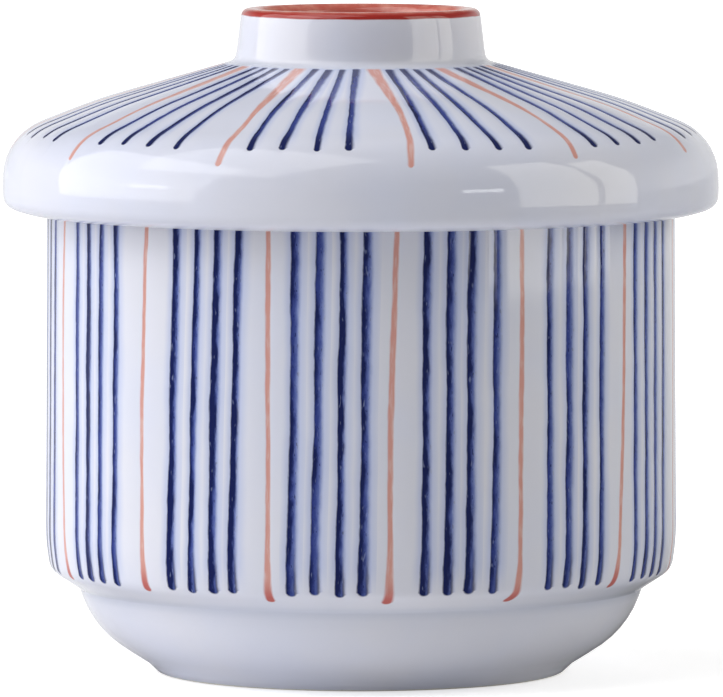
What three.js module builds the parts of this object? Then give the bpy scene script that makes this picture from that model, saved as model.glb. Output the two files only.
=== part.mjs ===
// A lidded rice bowl in glazed porcelain: a straight-walled bowl on a low foot ring, and a
// wide lid with a ring-shaped knob. Millimetres, +Z up, origin at the centre of the foot's underside.
import * as THREE from 'three';

// Bowl, outside. A name that ends in ROUND is the radius that rounds off the corner named before it.
const BOWL_HEIGHT = 71.9;
const BOWL_RIM_RADIUS = 43.8;
const RIM_ROUND = 0.9;
const WALL_RADIUS = 44.12;          // the straight wall at its widest, just above its rounded lower edge
const WALL_BEND_HEIGHT = 18.6;      // where the wall starts to lean in
const WALL_BEND_ROUND = 24;
const WALL_EDGE_RADIUS = 43.5;      // the corner where the wall turns under
const WALL_EDGE_HEIGHT = 14.55;
const WALL_EDGE_ROUND = 2;
const STEP_RADIUS = 39.42;          // the crease under the wall
const STEP_HEIGHT = 11.9;
const STEP_ROUND = 0.5;
const LOWER_BODY_RADIUS = 37.56;    // the corner that the lower body's curve rounds off
const LOWER_BODY_HEIGHT = 6.25;
const LOWER_BODY_ROUND = 13.4;
const FOOT_TOP_RADIUS = 29.85;
const FOOT_TOP_HEIGHT = 1.45;
const FOOT_TOP_ROUND = 0.6;
const FOOT_RADIUS = 28.35;
const FOOT_ROUND = 0.9;
const FOOT_INNER_RADIUS = 25.4;
const FOOT_INNER_ROUND = 0.6;
const FOOT_RECESS_RADIUS = 24.9;
const FOOT_RECESS_HEIGHT = 2.3;
const FOOT_RECESS_ROUND = 0.9;

// Bowl, inside
const BOWL_WALL_THICKNESS = 3.3;
const FLOOR_HEIGHT = 6.2;
const FLOOR_ROUND = 20;

// Lid, outside
const LID_RADIUS = 50;
const LIP_HEIGHT = 64;              // the inner, lowest edge of the lid's lip
const LIP_INNER_ROUND = 0.9;
const LIP_OUTER_HEIGHT = 65.2;      // its outer edge, because the lip's underside slants down inwards
const LIP_OUTER_ROUND = 1.9;
const SHOULDER_HEIGHT = 74.8;       // the corner that the lid's shoulder rounds off
const SHOULDER_ROUND = 8.2;
const BEND_RADIUS = 36.9;           // where the cone bends down towards the shoulder
const BEND_HEIGHT = 79.92;
const BEND_ROUND = 60;
const CONE_SLOPE = Math.tan(THREE.MathUtils.degToRad(16));

// Knob
const OVERALL_HEIGHT = 92.7;
const KNOB_BASE_RADIUS = 17.5;
const KNOB_BASE_ROUND = 1.3;
const KNOB_TOP_RADIUS = 16.65;
const KNOB_TOP_ROUND = 1.1;
const KNOB_RIM_THICKNESS = 3;
const KNOB_INNER_ROUND = 1.5;
const KNOB_RECESS_DEPTH = 4.8;
const KNOB_RECESS_DRAFT = 0.4;      // how much narrower the recess is at its floor
const KNOB_RECESS_ROUND = 1.8;

// Lid, underside
const SEAT_GAP = 0.3;               // the lid's seat to the bowl's rim
const SEAT_HEIGHT = BOWL_HEIGHT + SEAT_GAP;
const LIP_THICKNESS = 4.4;
const CHANNEL_ROUND = 1.6;          // where the seat meets the inside of the lip
const FLANGE_RADIUS = 39.6;
const FLANGE_THICKNESS = 2.6;
const FLANGE_DEPTH = 4.8;           // how far the locating flange reaches below the seat
const FLANGE_ROUND = 1;
const FLANGE_ROOT_ROUND = 0.6;
const DOME_THICKNESS = 3.87;        // measured straight down from the cone
const DOME_EDGE_ROUND = 2.5;
const DOME_CENTRE_RADIUS = 15;      // the nearly flat middle of the underside, below the knob
const DOME_CENTRE_HEIGHT = 83.7;
const DOME_CENTRE_ROUND = 20;

// Facets
const SIDES = 48;
const ARC_ERROR = 0.05;             // the most that an arc's chords may stray from the arc

const coneHeight = (radius) => BEND_HEIGHT + (BEND_RADIUS - radius) * CONE_SLOPE;

// A corner of an outline at a radius and a height, rounded off by an arc of radius `round`.
function corner(radius, height, round = 0) {
  return { point: new THREE.Vector2(radius, height), round };
}

// The points of the arc that rounds off one corner between its two neighbours.
function roundedCorner(before, { point, round }, after) {
  if (round === 0) {
    return [point];
  }
  const back = before.point.clone().sub(point).normalize();
  const ahead = after.point.clone().sub(point).normalize();
  const halfAngle = Math.acos(back.dot(ahead)) / 2;
  const bisector = back.clone().add(ahead).normalize();
  const centre = point.clone().addScaledVector(bisector, round / Math.sin(halfAngle));
  const tangentLength = round / Math.tan(halfAngle);
  const start = point.clone().addScaledVector(back, tangentLength);
  const turn = Math.PI - 2 * halfAngle;
  const direction = -Math.sign(back.cross(ahead));
  const steps = Math.max(2, Math.ceil(turn / (2 * Math.acos(1 - ARC_ERROR / round))));
  const points = [];
  for (let step = 0; step <= steps; step += 1) {
    points.push(start.clone().rotateAround(centre, (direction * turn * step) / steps));
  }
  return points;
}

// The closed body that an outline makes when it turns around the Z axis. The outline starts and
// ends on the axis.
function turned(corners) {
  const last = corners.length - 1;
  const points = corners.flatMap((item, index) =>
    index === 0 || index === last
      ? [item.point]
      : roundedCorner(corners[index - 1], item, corners[index + 1]),
  );
  const geometry = new THREE.LatheGeometry(points, SIDES);
  geometry.rotateX(Math.PI / 2);
  return geometry;
}

function namedMesh(name, geometry, color, roughness) {
  const material = new THREE.MeshStandardMaterial({ color, roughness, metalness: 0 });
  const mesh = new THREE.Mesh(geometry, material);
  mesh.name = name;
  return mesh;
}

// From the underside of the foot, up the outside, over the rim and down the inside.
function makeBowl() {
  const innerRadius = BOWL_RIM_RADIUS - BOWL_WALL_THICKNESS;
  const geometry = turned([
    corner(0, FOOT_RECESS_HEIGHT),
    corner(FOOT_RECESS_RADIUS, FOOT_RECESS_HEIGHT, FOOT_RECESS_ROUND),
    corner(FOOT_INNER_RADIUS, 0, FOOT_INNER_ROUND),
    corner(FOOT_RADIUS, 0, FOOT_ROUND),
    corner(FOOT_TOP_RADIUS, FOOT_TOP_HEIGHT, FOOT_TOP_ROUND),
    corner(LOWER_BODY_RADIUS, LOWER_BODY_HEIGHT, LOWER_BODY_ROUND),
    corner(STEP_RADIUS, STEP_HEIGHT, STEP_ROUND),
    corner(WALL_EDGE_RADIUS, WALL_EDGE_HEIGHT, WALL_EDGE_ROUND),
    corner(WALL_RADIUS, WALL_BEND_HEIGHT, WALL_BEND_ROUND),
    corner(BOWL_RIM_RADIUS, BOWL_HEIGHT, RIM_ROUND),
    corner(innerRadius, BOWL_HEIGHT, RIM_ROUND),
    corner(innerRadius, FLOOR_HEIGHT, FLOOR_ROUND),
    corner(0, FLOOR_HEIGHT),
  ]);
  return namedMesh('bowl', geometry, 0xd9dde8, 0.12);
}

// From the middle of the underside, around the flange, the seat and the lip, over the shoulder and
// up the knob to the floor of its recess.
function makeLid() {
  const channelRadius = LID_RADIUS - LIP_THICKNESS;
  const flangeInnerRadius = FLANGE_RADIUS - FLANGE_THICKNESS;
  const flangeBottom = SEAT_HEIGHT - FLANGE_DEPTH;
  const knobInnerRadius = KNOB_TOP_RADIUS - KNOB_RIM_THICKNESS;
  const recessFloor = OVERALL_HEIGHT - KNOB_RECESS_DEPTH;
  const geometry = turned([
    corner(0, DOME_CENTRE_HEIGHT),
    corner(DOME_CENTRE_RADIUS, coneHeight(DOME_CENTRE_RADIUS) - DOME_THICKNESS, DOME_CENTRE_ROUND),
    corner(flangeInnerRadius, coneHeight(flangeInnerRadius) - DOME_THICKNESS, DOME_EDGE_ROUND),
    corner(flangeInnerRadius, flangeBottom, FLANGE_ROUND),
    corner(FLANGE_RADIUS, flangeBottom, FLANGE_ROUND),
    corner(FLANGE_RADIUS, SEAT_HEIGHT, FLANGE_ROOT_ROUND),
    corner(channelRadius, SEAT_HEIGHT, CHANNEL_ROUND),
    corner(channelRadius, LIP_HEIGHT, LIP_INNER_ROUND),
    corner(LID_RADIUS, LIP_OUTER_HEIGHT, LIP_OUTER_ROUND),
    corner(LID_RADIUS, SHOULDER_HEIGHT, SHOULDER_ROUND),
    corner(BEND_RADIUS, BEND_HEIGHT, BEND_ROUND),
    corner(KNOB_BASE_RADIUS, coneHeight(KNOB_BASE_RADIUS), KNOB_BASE_ROUND),
    corner(KNOB_TOP_RADIUS, OVERALL_HEIGHT, KNOB_TOP_ROUND),
    corner(knobInnerRadius, OVERALL_HEIGHT, KNOB_INNER_ROUND),
    corner(knobInnerRadius - KNOB_RECESS_DRAFT, recessFloor, KNOB_RECESS_ROUND),
    corner(0, recessFloor),
  ]);
  return namedMesh('lid', geometry, 0xdde0ea, 0.1);
}

const riceBowl = new THREE.Group();
riceBowl.add(makeBowl(), makeLid());

export default riceBowl;
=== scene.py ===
"""Looks of the lidded rice bowl: hand-painted, glazed porcelain on a plain pale floor.

The bowl and the lid are each one fine closed mesh, turned from the outline of their CAD node. Its
columns run along the painted strokes, which lie in shallow grooves. Lengths are metres, and
azimuths go from the front (-Y) to the right (+X).
"""

import math
import random
from typing import NamedTuple

import bpy
import numpy as np
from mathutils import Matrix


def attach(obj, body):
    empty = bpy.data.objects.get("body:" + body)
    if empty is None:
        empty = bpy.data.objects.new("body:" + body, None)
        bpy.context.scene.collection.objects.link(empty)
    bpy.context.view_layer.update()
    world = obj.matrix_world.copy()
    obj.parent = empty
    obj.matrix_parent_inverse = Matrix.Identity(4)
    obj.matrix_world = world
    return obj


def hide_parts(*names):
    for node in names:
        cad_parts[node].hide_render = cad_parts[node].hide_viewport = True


MM = 0.001
NEARLY_ZERO = 1e-6

# Mesh
CORNER_CUTS = 3             # how often the outline's corners are cut, which rounds its facets
PLAIN_STEP = 3.2 * MM       # between rows where nothing is painted
PAINTED_STEP = 0.85 * MM
TURN_STEP = math.radians(14)
GROOVE_SIDES = (-1.5, -0.85, -0.35, 0.35, 0.85, 1.5)    # a stroke's columns, in half widths
GROOVE_SHAPE = (0.0, 0.55, 1.0, 1.0, 0.5, 0.0)          # how deep each of them lies
COLUMNS_PER_STROKE = 1 + len(GROOVE_SIDES)              # with the one in the gap on its left
GROOVE_ROOM = 0.8           # the most of a gap's half that a groove's side may take
GROOVE_DEPTH = 0.1 * MM
GROOVE_END = 1.2 * MM       # the length over which a groove gets shallower at its ends
RED_GROOVE = 0.35           # how deep a red stroke's groove is beside a blue one's
WARP = 0.07 * MM            # how far the hand-turned surface strays from a true circle

# Flat layout of the surface, from which an exporter can bake
LAYOUT_NAME = "OFBake"
LAYOUT_GAP = 0.006
PAINTED_STRIP = 0.385       # the height of each of the two painted strips

# Bowl: the stretches of its outline that are painted or bare, and the crease, painted darker where
# glaze pools and as painted shade
WALL_PAINT_RADIUS = 40.6 * MM   # the painted rows lie outside this radius
WALL_PAINT_BOTTOM = 11 * MM     # and above this height
WALL_TIPS_HEIGHT = 14.5 * MM
CREASE_HEIGHT = 12 * MM
# The crease is painted darker: partly the glaze pooling there, partly painted shade
CREASE_POOL_AND_SHADE = 1.1 * MM          # how far the crease's darkening spreads: glaze pooling there, and painted shade
CREASE_POOL_AND_SHADE_SHARE = 0.5
BARE_FOOT_HEIGHT = 0.3 * MM
BARE_RIM_DEPTH = 0.25 * MM

# Lid
LID_RADIUS = 50 * MM
LID_PAINT_RADIUS = 17.6 * MM    # the painted rows lie outside this radius
LID_PAINT_BOTTOM = 74.5 * MM    # and above this height at the lid's edge,
LID_PAINT_RISE = 0.13           # which rises by this much of the way in
LID_STARTS_RADIUS = 18.9 * MM
LID_TIPS_RADIUS = 47.2 * MM
SEAT_INNER_RADIUS = 40 * MM
SEAT_OUTER_RADIUS = 44.2 * MM
# The knob's foot is painted darker: partly the glaze pooling there, partly painted shade
KNOB_FOOT_POOL_AND_SHADE = 1.2 * MM
KNOB_FOOT_POOL_AND_SHADE_SHARE = 0.6
RED_RIM_DEPTH = 1.05 * MM       # how far below the knob's crest its red rim begins outside
RED_RIM_START = 3 * MM          # how far before that its uneven edge can reach
RED_RIM_END = 11 * MM           # how far from the middle of the recess it ends
NO_RED_RIM = -9.0

# Floor
FLOOR_HALF_SIZE = 80.0
FLOOR_GREY = 0.82
FLOOR_WHITE_NEAR = 0.55     # how much the camera's view of it is whitened near the bowl,
FLOOR_WHITE_FAR = 1.1       # and far away
WHITENING_START = 0.12      # the distances from the bowl between which that changes
WHITENING_END = 0.5
FLOOR_GLOW = 0.3            # how much light it adds on the bowl's left
FLOOR_GLOW_MIDDLE = (-0.16, 0.0, 0.0)
FLOOR_GLOW_NEAR = 0.06      # the distances from there between which that fades out
FLOOR_GLOW_FAR = 0.26
LEFT_AND_BACK = (-0.4, 0.92, 0.0)
DARK_IN_GLAZE = 0.12        # how bright it is in the glaze's reflections in front,
BRIGHT_IN_GLAZE = 0.85      # and on the left and behind

# World
BEHIND = (-0.35, 0.93, 0.1)
WORLD_IN_FRONT = 0.07       # how bright it is in front,
WORLD_BEHIND = 0.49         # behind,
WORLD_IN_GLAZE = 0.75       # and behind in the glaze's reflections,
OVERHEAD_IN_GLAZE = 0.16    # and what is left of that high up
WORLD_FOR_CAMERA = 1.1

# Lights
WHITE_LIGHT = (1.0, 1.0, 1.0)
WARM_LIGHT = (1.0, 0.97, 0.87)
AIM_HEIGHT = 0.05           # the height that the panels face
PANE_DISTANCE = 0.4

# Camera
FOCAL_LENGTH = 500.5        # in mm, on a sensor 36 mm wide
SENSOR_WIDTH = 36.0
EYE_PLACE = (0.0001, -1.4, 0.15)
VIEW_CENTRE_HEIGHT = 0.0451

# Strokes
BLUES_IN_GROUP = 4
WOBBLE = 0.045 * MM
HOOK_LENGTH = 3 * MM        # the stretches of a stroke that its hook, its wider tip and its wider
BULGE_LENGTH = 9 * MM       # start take up
START_LENGTH = 20 * MM


class Group(NamedTuple):
    """A red stroke and the four blue ones to its right: azimuths and their changes in degrees."""
    red: float              # where the red stroke starts
    blue: float             # from there to the start of the first blue stroke
    red_lean: float         # from a stroke's start to its tip
    red_bow: float          # how far its middle strays sideways
    red_hook: float         # the sideways flick at its tip
    blue_lean: float
    red_past: float         # how far the red stroke goes past the blue ones, in mm


# From the left side (-90 degrees) round the front to the back
WALL_GROUPS = (
    Group(-92.5, 5.4, 0.6, -1.5, 0.2, -0.4, 0.7),
    Group(-68.0, 5.4, 0.3, -1.6, 0.0, -0.3, 0.4),
    Group(-41.1, 6.6, -1.4, -0.9, 0.2, -1.6, 0.5),
    Group(-16.7, 5.3, -0.1, 0.1, 0.1, -1.1, 1.6),
    Group(6.9, 5.3, -1.8, -0.5, -0.5, -0.8, 1.9),
    Group(30.0, 6.3, -0.7, 0.2, -0.9, -0.5, 2.2),
    Group(55.6, 3.9, -2.3, 0.8, -0.9, -0.2, 0.6),
    Group(80.6, 5.5, -0.8, 0.5, -0.4, -0.9, 1.1),
    Group(108.1, 5.2, 0.4, -0.4, 0.5, -0.5, 1.3),
    Group(134.8, 6.1, -0.9, 0.3, -0.6, -1.0, 0.6),
    Group(162.1, 5.6, 0.5, 0.6, 0.4, 0.3, 1.5),
    Group(188.4, 5.9, -1.1, -0.5, -0.7, -0.8, 0.9),
    Group(214.9, 5.1, 0.2, 0.4, 0.3, -0.4, 1.6),
    Group(241.2, 6.0, -0.6, -0.6, 0.5, -0.9, 0.8),
)
LID_GROUPS = (
    Group(-86.5, 6.1, 1.0, 0.8, 0.0, 0.0, 2.6),
    Group(-56.6, 7.7, 2.0, 1.3, 0.0, -0.3, 2.9),
    Group(-26.2, 7.4, 2.9, 1.6, 0.0, 0.0, 2.8),
    Group(5.2, 6.6, 2.8, 1.6, 0.0, 0.1, 2.8),
    Group(34.6, 8.8, 2.4, 1.9, 0.0, -1.0, 2.0),
    Group(65.8, 6.8, 1.4, 0.7, 0.0, -0.8, 2.3),
    Group(96.4, 7.4, -1.8, 1.2, 0.0, 0.6, 2.5),
    Group(126.2, 6.2, 2.2, 0.9, 0.0, -0.5, 1.9),
    Group(155.6, 7.8, 0.6, -1.1, 0.0, -1.2, 2.6),
    Group(185.7, 5.9, -1.2, 0.7, 0.0, 0.5, 2.2),
    Group(214.4, 7.1, 1.9, 1.3, 0.0, -0.9, 2.7),
    Group(244.1, 6.6, 1.1, -0.6, 0.0, 0.3, 2.1),
)


class Brush(NamedTuple):
    """How the strokes of one piece are painted."""
    pitch: float            # between the blue strokes of a group, in degrees
    mean_radius: float
    blue_half_width: float
    red_half_width: float
    blue_bulge: float       # how much wider a stroke's tip is, as a share
    red_bulge: float
    blue_start: float       # how much wider its start is
    red_start: float


WALL_BRUSH = Brush(
    pitch=4.27, mean_radius=44 * MM, blue_half_width=0.58 * MM, red_half_width=0.36 * MM,
    blue_bulge=0.3, red_bulge=0.9, blue_start=0.0, red_start=0.0,
)
LID_BRUSH = Brush(
    pitch=5.7, mean_radius=34 * MM, blue_half_width=0.41 * MM, red_half_width=0.44 * MM,
    blue_bulge=0.35, red_bulge=0.0, blue_start=0.25, red_start=1.2,
)


class Paint(NamedTuple):
    """How the paint of one piece looks."""
    load: float             # how full the brush was
    blue_start: float       # how dark the blue strokes' starts are
    blue_tip: float         # and their tips
    red_tip: float
    outlined: float         # how dark the blue strokes' edges are
    haze: float             # how much blue has run into the glaze around the strokes


WALL_PAINT = Paint(load=-0.2, blue_start=0.1, blue_tip=0.15, red_tip=1.0, outlined=0.0, haze=0.05)
LID_PAINT = Paint(load=-0.7, blue_start=0.9, blue_tip=1.0, red_tip=0.0, outlined=0.4, haze=0.12)


# ---------------------------------------------------------------- outline

def meridian_place(point):
    """(radius, height) of a point in the half plane x > 0 = y, and None of any other point."""
    x, y, z = point
    if abs(y) > NEARLY_ZERO or x < -NEARLY_ZERO:
        return None
    return (0.0 if x < NEARLY_ZERO else round(x, 7), round(z, 7))


def outline_of(node):
    """A turned node's outline, from the middle of its underside round to the middle of its top."""
    mesh = node.data
    links = {}
    for edge in mesh.edges:
        a, b = (meridian_place(mesh.vertices[index].co) for index in edge.vertices)
        if a and b and a != b:
            links.setdefault(a, set()).add(b)
            links.setdefault(b, set()).add(a)
    place = min((point for point in links if point[0] == 0), key=lambda point: point[1])
    outline = []
    while place:
        outline.append(place)
        place = next((point for point in links[place] if point not in outline), None)
    return np.array(outline)


def with_cut_corners(points):
    """The outline with each corner cut off by a quarter of the shorter of its two sides."""
    steps = np.diff(points, axis=0)
    lengths = np.linalg.norm(steps, axis=1)
    directions = steps / lengths[:, None]
    cuts = np.minimum(lengths[:-1], lengths[1:])[:, None] / 4
    before = points[1:-1] - directions[:-1] * cuts
    after = points[1:-1] + directions[1:] * cuts
    cut = np.stack([before, after], axis=1).reshape(-1, 2)
    return np.concatenate([points[:1], cut, points[-1:]])


def lengths_along(points):
    """The length along the outline at each of its points."""
    steps = np.linalg.norm(np.diff(points, axis=0), axis=1)
    return np.concatenate([[0.0], np.cumsum(steps)])


class Outline:
    """A smooth outline with its rows: closer together on the painted stretch and in bends."""

    def __init__(self, node, painted):
        points = outline_of(node)
        for _ in range(CORNER_CUTS):
            points = with_cut_corners(points)
        along = lengths_along(points)
        steps = np.diff(points, axis=0)
        heading = np.unwrap(np.arctan2(steps[:, 1], steps[:, 0]))
        turn = np.abs(np.diff(heading, prepend=heading[0]))
        middles = (points[:-1] + points[1:]) / 2
        wanted = np.where(painted(middles[:, 0], middles[:, 1]), PAINTED_STEP, PLAIN_STEP)
        cost = np.concatenate([[0.0], np.cumsum(np.diff(along) / wanted + turn / TURN_STEP)])
        count = math.ceil(cost[-1])
        self.along = np.interp(np.linspace(0, cost[-1], count + 1), cost, along)
        self.radius = np.interp(self.along, along, points[:, 0])
        self.height = np.interp(self.along, along, points[:, 1])
        self.painted = np.flatnonzero(painted(self.radius, self.height))[[0, -1]]
        slope_r = np.gradient(self.radius, self.along)
        slope_z = np.gradient(self.height, self.along)
        size = np.hypot(slope_r, slope_z)
        self.inward = np.stack([-slope_z / size, slope_r / size], axis=1)

    def length_at_height(self, height, first, last):
        """The length along the outline where it rises past a height, between two rows."""
        part = slice(first, last + 1)
        return float(np.interp(height, self.height[part], self.along[part]))

    def length_at_radius(self, radius, first, last):
        """The length along the outline where it comes in past a radius, between two rows."""
        part = slice(first, last + 1)
        return float(np.interp(-radius, -self.radius[part], self.along[part]))


# ---------------------------------------------------------------- strokes

class Stroke:
    """One brush stroke, from its start to its tip along an outline."""

    def __init__(self, azimuth, lean, bow, hook, red, start, tip, brush, draw):
        self.azimuth = math.radians(azimuth)
        self.lean = math.radians(lean)
        self.bow = math.radians(bow)
        self.hook = math.radians(hook)
        self.red = red
        self.start = start
        self.tip = tip
        self.brush = brush
        self.seed = draw.random()
        half_width = brush.red_half_width if red else brush.blue_half_width
        self.half_width = half_width * draw.uniform(0.9, 1.12)
        self.waves = [(draw.uniform(9, 16) * MM, draw.uniform(0, math.tau), 0.5),
                      (draw.uniform(20, 40) * MM, draw.uniform(0, math.tau), 1.0),
                      (draw.uniform(4, 6) * MM, draw.uniform(0, math.tau), 0.25)]

    def sway(self, along, shift=0.0):
        """A slow hand tremor, about -1 to 1."""
        return sum(
            share * np.sin(math.tau * along / length + phase + shift)
            for length, phase, share in self.waves
        )

    def from_tip(self, along):
        return (self.tip - along) * np.sign(self.tip - self.start)

    def from_start(self, along):
        return (along - self.start) * np.sign(self.tip - self.start)

    def path(self, along):
        """The azimuth of the stroke's middle."""
        inside = np.clip(along, min(self.start, self.tip), max(self.start, self.tip))
        share = (inside - self.start) / (self.tip - self.start)
        hook = np.clip(1 - self.from_tip(inside) / HOOK_LENGTH, 0, 1) ** 2
        return (
            self.azimuth
            + self.lean * share
            + self.bow * 4 * share * (1 - share)
            + self.hook * hook
            + self.sway(inside) * WOBBLE / self.brush.mean_radius
        )

    def half_widths(self, along):
        """Half the stroke's width, which grows towards its tip and its start."""
        inside = np.clip(along, min(self.start, self.tip), max(self.start, self.tip))
        end = np.clip(1 - self.from_tip(inside) / BULGE_LENGTH, 0, 1) ** 1.5
        start = np.clip(1 - self.from_start(inside) / START_LENGTH, 0, 1)
        if self.red:
            spread = self.brush.red_bulge * end + self.brush.red_start * start
        else:
            spread = self.brush.blue_bulge * end + self.brush.blue_start * start
        return self.half_width * (1 + 0.07 * self.sway(inside, 2.0) + spread)


def strokes_of(groups, brush, start, tip, draw):
    """The strokes of every group, in order, from one length along the outline to another."""
    onward = math.copysign(MM, tip - start)
    strokes = []
    for group in groups:
        red_tip = tip + group.red_past * onward
        strokes.append(Stroke(group.red, group.red_lean, group.red_bow, group.red_hook, True,
                              start, red_tip, brush, draw))
        for number in range(BLUES_IN_GROUP):
            azimuth = group.red + group.blue + brush.pitch * number + draw.uniform(-0.12, 0.12)
            lean = group.blue_lean + draw.uniform(-0.25, 0.25)
            blue_start = start + draw.uniform(-0.2, 0.2) * onward
            blue_tip = tip + draw.uniform(-0.25, 0.25) * onward
            strokes.append(Stroke(azimuth, lean, draw.uniform(-0.3, 0.3), draw.uniform(-0.1, 0.1),
                                  False, blue_start, blue_tip, brush, draw))
    return strokes


# ---------------------------------------------------------------- mesh

def columns_of(outline, strokes):
    """Each row's columns as azimuths, and the middles and half widths of its strokes.

    A stroke has one column in the middle of the gap on its left, and then its own.
    """
    paths = np.stack([stroke.path(outline.along) for stroke in strokes], axis=1)
    widths = np.stack([stroke.half_widths(outline.along) for stroke in strokes], axis=1)
    before = np.roll(paths, 1, axis=1)
    before[:, 0] -= math.tau
    left_room = (paths - before) / 2
    right_room = np.roll(left_room, -1, axis=1)
    angle = widths / np.maximum(outline.radius, MM)[:, None]
    columns = [paths - left_room]
    for side in GROOVE_SIDES:
        room = (left_room if side < 0 else right_room) * GROOVE_ROOM / GROOVE_SIDES[-1]
        columns.append(paths + side * np.minimum(angle, room))
    return np.stack(columns, axis=2).reshape(len(outline.along), -1), paths, widths


def groove_depths(outline, strokes):
    """How deep each row's columns lie in their stroke's groove."""
    depths = []
    for stroke in strokes:
        ends = np.minimum(stroke.from_tip(outline.along), stroke.from_start(outline.along))
        share = np.clip(ends / GROOVE_END + 0.5, 0, 1)
        share = share * share * (3 - 2 * share) * (RED_GROOVE if stroke.red else 1.0)
        depths.append(np.zeros_like(share))
        depths += [share * deep for deep in GROOVE_SHAPE]
    return np.stack(depths, axis=1) * GROOVE_DEPTH


def warp(azimuth, height, radius):
    """How far a hand-turned wall lies inside its true circle: 0 to 1."""
    slow = np.sin(2 * azimuth + 0.7) * np.cos(height / (31 * MM))
    fast = np.sin(5 * azimuth + height / (13 * MM)) * 0.5
    rings = np.sin(height / (2.3 * MM) + 2 * np.sin(azimuth)) * 0.25
    return (1.75 + slow + fast + rings) / 3.5 * np.clip(radius / (20 * MM), 0, 1)


def turned_mesh(name, outline, strokes):
    """The closed mesh of a turned piece, with its attributes for the paint and its flat layout.

    With it come its faces' corners: a corner's row and column, and its face's row and column.
    """
    azimuth, paths, widths = columns_of(outline, strokes)
    rows, columns = azimuth.shape
    depth = groove_depths(outline, strokes)
    height = np.repeat(outline.height[:, None], columns, axis=1)
    circle = np.repeat(outline.radius[:, None], columns, axis=1)
    radius = circle - WARP * warp(azimuth, height, circle) + depth * outline.inward[:, :1]
    height = height + depth * outline.inward[:, 1:]
    places = np.stack([radius * np.sin(azimuth), -radius * np.cos(azimuth), height], axis=2)
    ring = places[1:-1].reshape(-1, 3)
    bottom = (0, 0, outline.height[0])
    top = (0, 0, outline.height[-1])
    vertices = np.concatenate([[bottom], ring, [top]])

    def index(row, column):
        if row == 0:
            return 0
        if row == rows - 1:
            return len(vertices) - 1
        return 1 + (row - 1) * columns + column % columns

    faces, corners = [], []
    for row in range(rows - 1):
        for column in range(columns):
            square = [(row, column), (row, column + 1), (row + 1, column + 1), (row + 1, column)]
            if row == 0:
                square = square[1:]
            elif row == rows - 2:
                square = square[:3]
            faces.append([index(*corner) for corner in square])
            corners += [(*corner, row, column) for corner in square]
    mesh = bpy.data.meshes.new(name)
    mesh.from_pydata(vertices.tolist(), [], faces)
    mesh.polygons.foreach_set("use_smooth", [True] * len(faces))
    corners = np.array(corners)
    write_paint(mesh, corners, azimuth, outline, strokes, paths, widths)
    write_layout(mesh, corners, azimuth, outline)
    mesh.update()
    return mesh, corners


def write_paint(mesh, corners, azimuth, outline, strokes, paths, widths):
    """Writes, for each corner of a face, where it lies on the face's stroke."""
    row, column = corners[:, 0], corners[:, 1]
    stroke = corners[:, 3] // COLUMNS_PER_STROKE
    turns = column // azimuth.shape[1]
    here = azimuth[row, column % azimuth.shape[1]] + math.tau * turns
    across = (here - paths[row, stroke]) * outline.radius[row]
    from_start = np.stack([item.from_start(outline.along) for item in strokes], axis=1)
    from_tip = np.stack([item.from_tip(outline.along) for item in strokes], axis=1)
    seeds = np.array([item.seed for item in strokes])
    reds = np.array([float(item.red) for item in strokes])
    place = np.stack([across, from_start[row, stroke], from_tip[row, stroke]], axis=1) / MM
    kind = np.stack([widths[row, stroke] / MM, seeds[stroke], reds[stroke]], axis=1)
    for name, values in (("stroke_place", place), ("stroke_kind", kind)):
        attribute = mesh.attributes.new(name, "FLOAT_VECTOR", "CORNER")
        attribute.data.foreach_set("vector", values.astype(np.float32).ravel())


def write_layout(mesh, corners, azimuth, outline):
    """Lays the surface out flat, in four strips one above the other.

    They are the rows below the painted ones, the left and the right half of the painted rows, and
    the rows above them.
    """
    first, last = outline.painted
    end = len(azimuth) - 1
    columns = azimuth.shape[1]
    half = columns // (2 * COLUMNS_PER_STROKE) * COLUMNS_PER_STROKE
    row, column, face_row, face_column = corners.T
    is_painted = (face_row >= first) & (face_row < last)
    rows = np.arange(end + 1)
    along = outline.along
    up_painted = (along - along[first]) / (along[last] - along[first])
    up_above = (rows - last) / (end - last)
    spare = 1 - 2 * PAINTED_STRIP - 5 * LAYOUT_GAP
    below = spare * first / (first + end - last)
    strips = (              # its corners, its height, how far up it each row is, and its columns
        (face_row < first, below, rows / first, 0, columns),
        (is_painted & (face_column < half), PAINTED_STRIP, up_painted, 0, half),
        (is_painted & (face_column >= half), PAINTED_STRIP, up_painted, half, columns),
        (face_row >= last, spare - below, up_above, 0, columns),
    )
    middle_row = azimuth[(first + last) // 2]
    round_about = np.append(middle_row, middle_row[0] + math.tau)
    flat = np.empty((len(corners), 2))
    low = LAYOUT_GAP
    for inside, height, up, left_column, right_column in strips:
        left = round_about[left_column]
        across = (round_about[column[inside]] - left) / (round_about[right_column] - left)
        flat[inside, 0] = LAYOUT_GAP + across * (1 - 2 * LAYOUT_GAP)
        flat[inside, 1] = low + up[row[inside]] * height
        low += height + LAYOUT_GAP
    layer = mesh.uv_layers.new(name=LAYOUT_NAME)
    layer.data.foreach_set("uv", flat.astype(np.float32).ravel())


def write_rows(mesh, name, corners, values):
    """Writes one number per row of the outline."""
    attribute = mesh.attributes.new(name, "FLOAT", "CORNER")
    attribute.data.foreach_set("value", values[corners[:, 0]].astype(np.float32))


def new_piece(name, mesh):
    piece = bpy.data.objects.new(name, mesh)
    bpy.context.scene.collection.objects.link(piece)
    return piece


# ---------------------------------------------------------------- materials

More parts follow.
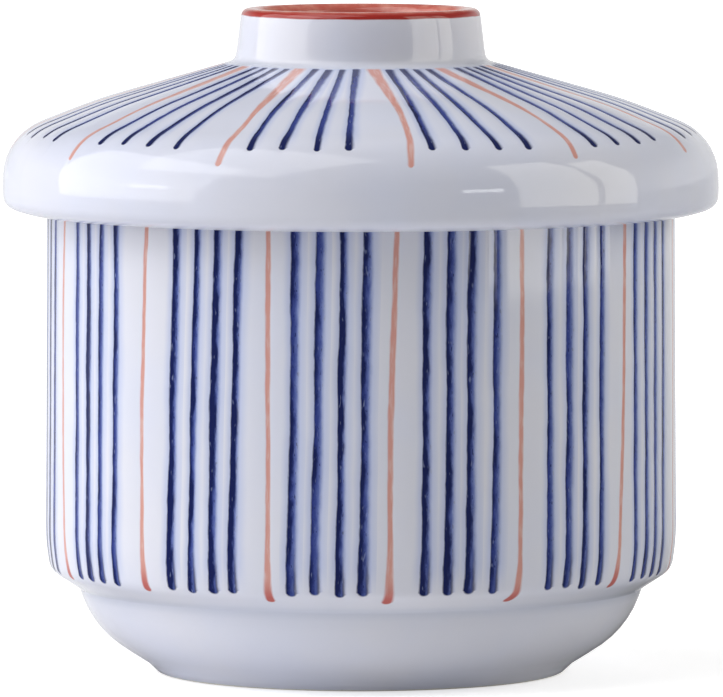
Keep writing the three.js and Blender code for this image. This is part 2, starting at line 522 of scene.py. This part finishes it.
class Graph:
    """Short ways to add nodes to a material or a world, and to link them."""

    def __init__(self, owner):
        owner.use_nodes = True
        self.tree = owner.node_tree

    def node(self, kind, **settings):
        node = self.tree.nodes.new(kind)
        for name, value in settings.items():
            setattr(node, name, value)
        return node

    def put(self, socket, value):
        if isinstance(value, bpy.types.NodeSocket):
            self.tree.links.new(value, socket)
        else:
            socket.default_value = value

    def math(self, operation, *values):
        node = self.node("ShaderNodeMath", operation=operation)
        for socket, value in zip(node.inputs, values):
            self.put(socket, value)
        return node.outputs[0]

    def plus(self, a, b):
        return self.math("ADD", a, b)

    def minus(self, a, b):
        return self.math("SUBTRACT", a, b)

    def times(self, a, b):
        return self.math("MULTIPLY", a, b)

    def over(self, a, b):
        return self.math("DIVIDE", a, b)

    def larger(self, a, b):
        return self.math("MAXIMUM", a, b)

    def smaller(self, a, b):
        return self.math("MINIMUM", a, b)

    def size(self, value):
        """The value without its sign."""
        return self.math("ABSOLUTE", value)

    def ramp(self, value, low, high, at_low=0.0, at_high=1.0):
        """A smooth step from at_low to at_high as value goes from low to high."""
        node = self.node("ShaderNodeMapRange", interpolation_type="SMOOTHSTEP")
        for socket, number in zip(node.inputs, (value, low, high, at_low, at_high)):
            self.put(socket, number)
        return node.outputs[0]

    def choose(self, share, a, b):
        """The number a where share is 0, and b where it is 1."""
        node = self.node("ShaderNodeMix", data_type="FLOAT", clamp_factor=True)
        self.put(node.inputs[0], share)
        self.put(node.inputs[2], a)
        self.put(node.inputs[3], b)
        return node.outputs[0]

    def towards(self, vector, direction):
        """How much a unit vector points in a direction: -1 to 1."""
        node = self.node("ShaderNodeVectorMath", operation="DOT_PRODUCT")
        self.put(node.inputs[0], vector)
        node.inputs[1].default_value = direction
        return node.outputs["Value"]

    def mix(self, share, a, b):
        """The colour a where share is 0, and b where it is 1."""
        node = self.node("ShaderNodeMix", data_type="RGBA", clamp_factor=True)
        self.put(node.inputs[0], share)
        self.put(node.inputs[6], a)
        self.put(node.inputs[7], b)
        return node.outputs[2]

    def join(self, x, y, z):
        node = self.node("ShaderNodeCombineXYZ")
        for socket, value in zip(node.inputs, (x, y, z)):
            self.put(socket, value)
        return node.outputs[0]

    def split(self, vector):
        node = self.node("ShaderNodeSeparateXYZ")
        self.put(node.inputs[0], vector)
        return node.outputs

    def attribute(self, name):
        return self.node("ShaderNodeAttribute", attribute_name=name).outputs

    def noise(self, vector, scale, detail=2.0):
        node = self.node("ShaderNodeTexNoise")
        self.put(node.inputs["Vector"], vector)
        node.inputs["Scale"].default_value = scale
        node.inputs["Detail"].default_value = detail
        return node.outputs["Fac"]


def rgba(red, green, blue):
    return (red, green, blue, 1.0)


GLAZE = rgba(0.735, 0.755, 0.865)
# Darker glaze for creases: partly where it pools, partly painted shade
GLAZE_POOLED_AND_SHADED = rgba(0.54, 0.58, 0.70)
GLAZE_WARM = rgba(0.765, 0.77, 0.845)
HALO = rgba(0.42, 0.50, 0.78)
WASH = rgba(0.17, 0.23, 0.53)
COBALT = rgba(0.035, 0.055, 0.26)
NAVY = rgba(0.008, 0.014, 0.092)
SALMON = rgba(0.66, 0.29, 0.23)
SALMON_PALE = rgba(0.70, 0.42, 0.37)
BRICK = rgba(0.50, 0.075, 0.05)
RIM_LIGHT = rgba(0.68, 0.27, 0.21)
RIM_RED = rgba(0.56, 0.13, 0.10)
RIM_DARK = rgba(0.40, 0.035, 0.028)
BISCUIT = rgba(0.72, 0.71, 0.67)
GRIT = rgba(0.55, 0.52, 0.47)
RELIEF = 0.05 * MM


def centred(g, noise, size):
    """Noise from 0 to 1 as a number around 0, from -size / 2 to size / 2."""
    return g.times(g.minus(noise, 0.5), size)


class StrokeSockets:
    """Where a point lies on its stroke, in mm, and what kind of stroke that is."""

    def __init__(self, g):
        self.across, self.along, self.from_tip = g.split(g.attribute("stroke_place")["Vector"])
        self.half_width, self.seed, self.red = g.split(g.attribute("stroke_kind")["Vector"])
        self.side = g.over(self.across, self.half_width)
        self.started = g.ramp(self.along, -0.2, 0.5)


def past_end(g, stroke, from_end):
    """0 inside a stroke, and 1 where its round end stops."""
    beyond = g.larger(g.minus(1.0, g.over(from_end, stroke.half_width)), 0.0)
    shrink = g.times(stroke.side, g.smaller(g.times(beyond, 3.0), 1.0))
    return g.math("SQRT", g.plus(g.times(beyond, beyond), g.times(shrink, shrink)))


def blue_paint(g, stroke, paint):
    """The colour and the cover of a blue stroke: a hard dark left edge, then a wash that fades out."""
    fibre = g.join(
        g.times(stroke.across, 2.0), g.times(stroke.along, 0.5), g.times(stroke.seed, 97.0)
    )
    slow = g.join(g.times(stroke.seed, 31.0), g.times(stroke.along, 0.14), 0.0)
    grain = g.noise(fibre, 1.2, 3.0)
    drift = g.noise(slow, 1.0, 2.0)
    rough = g.plus(stroke.side, centred(g, grain, 0.4))
    past = past_end(g, stroke, g.smaller(stroke.from_tip, stroke.along))
    cover = g.times(g.ramp(rough, -1.2, -0.8), g.ramp(rough, 0.35, 1.6, 1.0, 0.0))
    cover = g.times(cover, g.ramp(past, 0.75, 1.15, 1.0, 0.0))

    # How far the dark core reaches from the left edge
    reach = g.plus(g.ramp(drift, 0.3, 0.7, -0.45, 0.45), centred(g, stroke.seed, 1.1))
    reach = g.plus(reach, paint.load)
    dark = g.minus(g.plus(rough, centred(g, grain, 0.9)), reach)
    dark = g.ramp(dark, -0.35, 0.6, 1.0, 0.0)

    # Dark knots, the dark ring at the tip, the dark start and the dark edges
    knots = g.ramp(g.noise(fibre, 2.4, 1.0), 0.62, 0.72, 0.0, 0.8)
    ring = g.times(
        g.ramp(stroke.from_tip, 1.6, 8.5, 1.0, 0.0),
        g.ramp(g.size(rough), 0.2, 0.75, paint.blue_tip, 1.0),
    )
    ring = g.times(ring, g.ramp(rough, 0.8, 1.15, 1.0, 0.0))
    start = g.ramp(stroke.along, 1.0, 6.5, paint.blue_start, 0.0)
    edges = g.ramp(g.size(rough), 0.35, 0.85, 0.0, paint.outlined)
    for share in (knots, ring, start, edges):
        dark = g.larger(dark, share)

    wash = g.plus(g.plus(rough, centred(g, grain, 0.8)), paint.load)
    colour = g.mix(dark, g.mix(g.ramp(wash, -0.6, 1.0), COBALT, WASH), NAVY)
    specks = g.ramp(g.noise(fibre, 1.9, 0.0), 0.7, 0.9, 0.0, 0.3)
    return g.mix(specks, colour, HALO), cover


def red_paint(g, stroke, paint):
    """The colour and the cover of a red stroke: faint, and darker where the brush stopped."""
    fibre = g.join(
        g.times(stroke.across, 2.0), g.times(stroke.along, 0.3), g.times(stroke.seed, 53.0)
    )
    grain = g.noise(fibre, 1.3, 2.0)
    past = past_end(g, stroke, stroke.from_tip)
    rough = g.plus(g.size(stroke.side), centred(g, grain, 0.4))
    cover = g.times(g.ramp(rough, 0.6, 1.35, 1.0, 0.0), g.ramp(past, 0.75, 1.2, 1.0, 0.0))
    pale = g.mix(g.ramp(grain, 0.45, 0.75), SALMON, SALMON_PALE)
    tip = g.ramp(stroke.from_tip, 0.8, 4.5, paint.red_tip, 0.0)
    return g.mix(tip, pale, BRICK), g.times(cover, 0.9)


def glaze(g, place, stroke, is_blue, paint):
    """The colour of the glaze: cloudy, darker in creases, where it pools and where shade is painted,
    and blue beside each blue stroke.
    """
    cloud = g.noise(place, 60.0, 3.0)
    colour = g.mix(g.ramp(cloud, 0.3, 0.7), GLAZE, GLAZE_WARM)
    # Darker in creases: partly glaze pooling, partly painted shade
    colour = g.mix(g.attribute("pooled_and_shaded")["Fac"], colour, GLAZE_POOLED_AND_SHADED)
    colour = g.mix(g.times(stroke.started, paint.haze), colour, HALO)
    halo = g.times(g.ramp(stroke.side, 0.8, 3.8, 0.6, 0.0), g.ramp(stroke.side, -3.0, -0.8))
    halo = g.times(g.times(halo, g.ramp(stroke.from_tip, -0.6, 5.0)), is_blue)
    return g.mix(halo, colour, HALO)


def with_strokes(g, place, paint):
    """The colour of the glaze and its strokes."""
    stroke = StrokeSockets(g)
    is_red = g.times(stroke.red, stroke.started)
    is_blue = g.minus(stroke.started, is_red)
    colour = glaze(g, place, stroke, is_blue, paint)
    blue, blue_cover = blue_paint(g, stroke, paint)
    red, red_cover = red_paint(g, stroke, paint)
    colour = g.mix(g.times(blue_cover, is_blue), colour, blue)
    return g.mix(g.times(red_cover, is_red), colour, red)


def with_red_rim(g, place, colour):
    """The colour with the knob's red rim, which has uneven, darker edges."""
    inside = g.plus(g.attribute("red_rim")["Fac"], centred(g, g.noise(place, 170.0, 2.0), 0.35))
    rim = g.mix(g.ramp(g.noise(place, 420.0, 3.0), 0.35, 0.7), RIM_RED, RIM_LIGHT)
    rim = g.mix(g.ramp(inside, 0.7, 1.5, 1.0, 0.0), rim, RIM_DARK)
    rim = g.mix(g.ramp(inside, 4.0, 5.2), rim, RIM_DARK)
    return g.mix(g.ramp(inside, 0.0, 0.22), colour, rim)


def relief(g, place, grit, bare):
    """The glaze's gentle swell and its fine ripples, and the grit of the bare porcelain."""
    swell = g.noise(place, 130.0, 1.0)
    ripples = g.noise(place, 900.0, 2.0)
    height = g.plus(swell, g.times(ripples, 0.08))
    height = g.plus(height, g.times(g.times(grit, bare), 0.5))
    bump = g.node("ShaderNodeBump")
    bump.inputs["Strength"].default_value = 1.0
    bump.inputs["Distance"].default_value = RELIEF
    g.put(bump.inputs["Height"], height)
    return bump.outputs[0]


def porcelain(name, paint):
    """Porcelain under a clear, glossy glaze, with painted strokes and bare rings."""
    material = bpy.data.materials.new(name)
    g = Graph(material)
    place = g.node("ShaderNodeTexCoord").outputs["Object"]
    bare = g.plus(g.attribute("bare")["Fac"], centred(g, g.noise(place, 500.0, 3.0), 0.3))
    bare = g.ramp(bare, 0.0, 0.12)
    grit = g.noise(place, 4000.0, 2.0)
    colour = with_red_rim(g, place, with_strokes(g, place, paint))
    colour = g.mix(bare, colour, g.mix(g.ramp(grit, 0.55, 0.75), BISCUIT, GRIT))

    shader = g.tree.nodes["Principled BSDF"].inputs
    g.put(shader["Base Color"], colour)
    g.put(shader["Roughness"], g.plus(0.3, g.times(bare, 0.5)))
    g.put(shader["Coat Weight"], g.minus(1.0, bare))
    g.put(shader["Normal"], relief(g, place, grit, bare))
    shader["Specular IOR Level"].default_value = 0.0
    shader["Coat Roughness"].default_value = 0.06
    shader["Coat IOR"].default_value = 1.5
    return material


# ---------------------------------------------------------------- pieces

def pooling_and_shade(outline, length, spread, share):
    """How much each row darkens around one length along the outline: partly where glaze pools, partly
    painted shade.
    """
    return np.exp(-((outline.along - length) / spread) ** 2) * share


def make_bowl(frame, draw):
    def is_painted(radius, height):
        return (radius > WALL_PAINT_RADIUS) & (height > WALL_PAINT_BOTTOM)

    outline = Outline(frame["nodes"]["bowl"], is_painted)
    lip = int(np.argmax(outline.height))
    foot = int(np.argmin(outline.height))
    rim = outline.along[lip]
    tips = outline.length_at_height(WALL_TIPS_HEIGHT, foot, lip)
    crease = outline.length_at_height(CREASE_HEIGHT, foot, lip)
    strokes = strokes_of(WALL_GROUPS, WALL_BRUSH, rim, tips, draw)
    mesh, corners = turned_mesh("bowl_body", outline, strokes)
    bare_foot = np.where(outline.along < rim / 2, BARE_FOOT_HEIGHT - outline.height, -MM)
    bare_rim = outline.height - (outline.height.max() - BARE_RIM_DEPTH)
    write_rows(mesh, "bare", corners, np.maximum(bare_foot, bare_rim) / MM)
    # The crease painted darker: glaze pooling there, and painted shade
    write_rows(mesh, "pooled_and_shaded", corners, pooling_and_shade(outline, crease, CREASE_POOL_AND_SHADE, CREASE_POOL_AND_SHADE_SHARE))
    write_rows(mesh, "red_rim", corners, np.full_like(outline.along, NO_RED_RIM))
    mesh.materials.append(porcelain("painted_bowl_porcelain", WALL_PAINT))
    piece = new_piece("bowl_body", mesh)
    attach(piece, "bowl")
    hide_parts("bowl")


def make_lid(frame, draw):
    def is_painted(radius, height):
        bottom = LID_PAINT_BOTTOM + (LID_RADIUS - radius) * LID_PAINT_RISE
        return (radius > LID_PAINT_RADIUS) & (height > bottom)

    outline = Outline(frame["nodes"]["lid"], is_painted)
    lip = int(np.argmax(outline.radius))
    crest = int(np.argmax(outline.height))
    knob_foot = outline.length_at_radius(LID_STARTS_RADIUS, lip, crest)
    tips = outline.length_at_radius(LID_TIPS_RADIUS, lip, crest)
    strokes = strokes_of(LID_GROUPS, LID_BRUSH, knob_foot, tips, draw)
    mesh, corners = turned_mesh("lid_body", outline, strokes)
    is_below = outline.along < outline.along[lip]
    is_seat = (outline.radius > SEAT_INNER_RADIUS) & (outline.radius < SEAT_OUTER_RADIUS) & is_below
    write_rows(mesh, "bare", corners, np.where(is_seat, 0.5, -1.0))
    # The knob's foot painted darker: glaze pooling there, and painted shade
    write_rows(mesh, "pooled_and_shaded", corners, pooling_and_shade(outline, knob_foot, KNOB_FOOT_POOL_AND_SHADE, KNOB_FOOT_POOL_AND_SHADE_SHARE))
    rim_start = outline.length_at_height(outline.height.max() - RED_RIM_DEPTH, lip, crest)
    rim_end = outline.along[-1] - RED_RIM_END
    red_rim = np.minimum(outline.along - rim_start, rim_end - outline.along) / MM
    red_rim = np.where(outline.along < rim_start - RED_RIM_START, NO_RED_RIM, red_rim)
    write_rows(mesh, "red_rim", corners, red_rim)
    mesh.materials.append(porcelain("painted_lid_porcelain", LID_PAINT))
    piece = new_piece("lid_body", mesh)
    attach(piece, "lid")
    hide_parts("lid")


# ---------------------------------------------------------------- stage

def pale_floor():
    """The floor's material.

    The camera sees the floor whiter than it is, and white far away. Near the bowl's left side it
    glows a little, which lights the bowl's underside. In the glaze it is bright only on the left and
    behind.
    """
    material = bpy.data.materials.new("pale_floor")
    g = Graph(material)
    g.tree.nodes.remove(g.tree.nodes["Principled BSDF"])
    ray = g.node("ShaderNodeLightPath").outputs
    place = g.node("ShaderNodeTexCoord").outputs["Object"]

    diffuse = g.node("ShaderNodeBsdfDiffuse")
    diffuse.inputs["Color"].default_value = rgba(FLOOR_GREY, FLOOR_GREY, FLOOR_GREY)
    from_bowl = g.node("ShaderNodeVectorMath", operation="LENGTH")
    g.put(from_bowl.inputs[0], place)
    whitening = g.ramp(from_bowl.outputs["Value"], WHITENING_START, WHITENING_END,
                       FLOOR_WHITE_NEAR, FLOOR_WHITE_FAR)
    from_glow = g.node("ShaderNodeVectorMath", operation="DISTANCE")
    g.put(from_glow.inputs[0], place)
    from_glow.inputs[1].default_value = FLOOR_GLOW_MIDDLE
    bounce = g.ramp(from_glow.outputs["Value"], FLOOR_GLOW_NEAR, FLOOR_GLOW_FAR, FLOOR_GLOW, 0.0)
    glow = g.node("ShaderNodeEmission")
    g.put(glow.inputs["Strength"], g.larger(g.times(ray["Is Camera Ray"], whitening), bounce))
    lit = g.node("ShaderNodeAddShader")
    g.put(lit.inputs[0], diffuse.outputs[0])
    g.put(lit.inputs[1], glow.outputs[0])

    outwards = g.node("ShaderNodeVectorMath", operation="NORMALIZE")
    g.put(outwards.inputs[0], place)
    behind = g.towards(outwards.outputs[0], LEFT_AND_BACK)
    mirrored = g.node("ShaderNodeEmission")
    g.put(mirrored.inputs["Strength"], g.ramp(behind, 0.1, 1.0, DARK_IN_GLAZE, BRIGHT_IN_GLAZE))

    either = g.node("ShaderNodeMixShader")
    g.put(either.inputs[0], ray["Is Glossy Ray"])
    g.put(either.inputs[1], lit.outputs[0])
    g.put(either.inputs[2], mirrored.outputs[0])
    g.put(g.tree.nodes["Material Output"].inputs["Surface"], either.outputs[0])
    return material


def make_floor():
    size = FLOOR_HALF_SIZE
    corners = [(-size, -size, 0), (size, -size, 0), (size, size, 0), (-size, size, 0)]
    mesh = bpy.data.meshes.new("floor")
    mesh.from_pydata(corners, [], [(0, 1, 2, 3)])
    mesh.materials.append(pale_floor())
    floor = new_piece("floor", mesh)


def make_world():
    """White for the camera. It lights the bowl mostly from behind, and in the glaze it is dark
    in front and high up.
    """
    world = bpy.data.worlds.new("studio")
    bpy.context.scene.world = world
    g = Graph(world)
    ray = g.node("ShaderNodeLightPath").outputs
    direction = g.node("ShaderNodeTexCoord").outputs["Generated"]
    behind = g.ramp(g.towards(direction, BEHIND), -0.75, 0.35)
    light = g.ramp(behind, 0.0, 1.0, WORLD_IN_FRONT, WORLD_BEHIND)
    overhead = g.ramp(g.split(direction)["Z"], 0.15, 0.5, 1.0, OVERHEAD_IN_GLAZE)
    mirrored = g.times(g.ramp(behind, 0.0, 1.0, WORLD_IN_FRONT, WORLD_IN_GLAZE), overhead)
    strength = g.choose(ray["Is Glossy Ray"], light, mirrored)
    strength = g.choose(ray["Is Camera Ray"], strength, WORLD_FOR_CAMERA)
    background = g.tree.nodes["Background"]
    background.inputs["Color"].default_value = rgba(1.0, 1.0, 1.0)
    g.put(background.inputs["Strength"], strength)


def add_panel(name, azimuth, elevation, distance, width, height, power, tint=WHITE_LIGHT):
    """A light panel that faces the axis of the bowl."""
    light = bpy.data.lights.new(name, "AREA")
    light.shape = "RECTANGLE"
    light.size = width
    light.size_y = height
    light.energy = power
    light.color = tint
    panel = bpy.data.objects.new(name, light)
    turn = math.radians(azimuth)
    rise = math.radians(elevation)
    flat = distance * math.cos(rise)
    height_above = distance * math.sin(rise)
    panel.location = (flat * math.sin(turn), -flat * math.cos(turn), height_above + AIM_HEIGHT)
    panel.rotation_euler = (math.pi / 2 - rise, 0.0, turn)
    panel.visible_camera = False
    bpy.context.scene.collection.objects.link(panel)
    return panel


def add_pane(name, azimuth, turn, low, high, brightness, tint=WHITE_LIGHT):
    """An upright window that only the glaze reflects: turn degrees wide, from low to high."""
    width = 2 * PANE_DISTANCE * math.tan(math.radians(turn) / 2)
    power = brightness * math.pi * width * (high - low)
    pane = add_panel(name, azimuth, 0.0, PANE_DISTANCE, width, high - low, power, tint)
    pane.location.z = (low + high) / 2
    pane.visible_diffuse = False


def make_camera():
    camera = bpy.data.cameras.new("camera")
    camera.lens = FOCAL_LENGTH
    camera.sensor_width = SENSOR_WIDTH
    camera.clip_end = 200.0
    eye = bpy.data.objects.new("camera", camera)
    eye.location = EYE_PLACE
    dip = math.atan2(EYE_PLACE[2] - VIEW_CENTRE_HEIGHT, -EYE_PLACE[1])
    eye.rotation_euler = (math.pi / 2 - dip, 0.0, 0.0)
    bpy.context.scene.collection.objects.link(eye)
    bpy.context.scene.camera = eye


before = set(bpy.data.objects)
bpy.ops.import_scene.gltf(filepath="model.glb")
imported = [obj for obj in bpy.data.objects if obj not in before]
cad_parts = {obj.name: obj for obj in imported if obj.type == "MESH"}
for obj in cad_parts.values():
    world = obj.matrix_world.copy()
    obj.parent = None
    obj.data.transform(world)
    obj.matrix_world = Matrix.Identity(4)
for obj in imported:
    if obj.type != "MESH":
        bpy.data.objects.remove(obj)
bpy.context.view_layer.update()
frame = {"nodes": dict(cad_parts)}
draw = random.Random(7)
make_camera()
make_bowl(frame, draw)
make_lid(frame, draw)
make_floor()
make_world()
add_panel("left_softbox", azimuth=-84, elevation=22, distance=2.0, width=2.4, height=2.2, power=30.5)
add_panel("top_softbox", azimuth=-58, elevation=58, distance=1.8, width=1.6, height=1.6, power=14.2)
right_fill = add_panel("right_fill", azimuth=96, elevation=26, distance=1.6, width=0.8, height=0.9,
                       power=9.6, tint=WARM_LIGHT)
right_fill.visible_glossy = False
add_pane("left_pane", azimuth=-68, turn=15, low=0.11, high=0.14, brightness=2.5)
add_pane("near_pane", azimuth=37, turn=13, low=0.11, high=0.14, brightness=5.0)
add_pane("wide_pane", azimuth=63, turn=28, low=0.035, high=0.5, brightness=2.4, tint=WARM_LIGHT)
add_pane("right_pane", azimuth=87, turn=15, low=0.035, high=0.4, brightness=2.1, tint=WARM_LIGHT)
bpy.context.scene.view_settings.view_transform = "Standard"
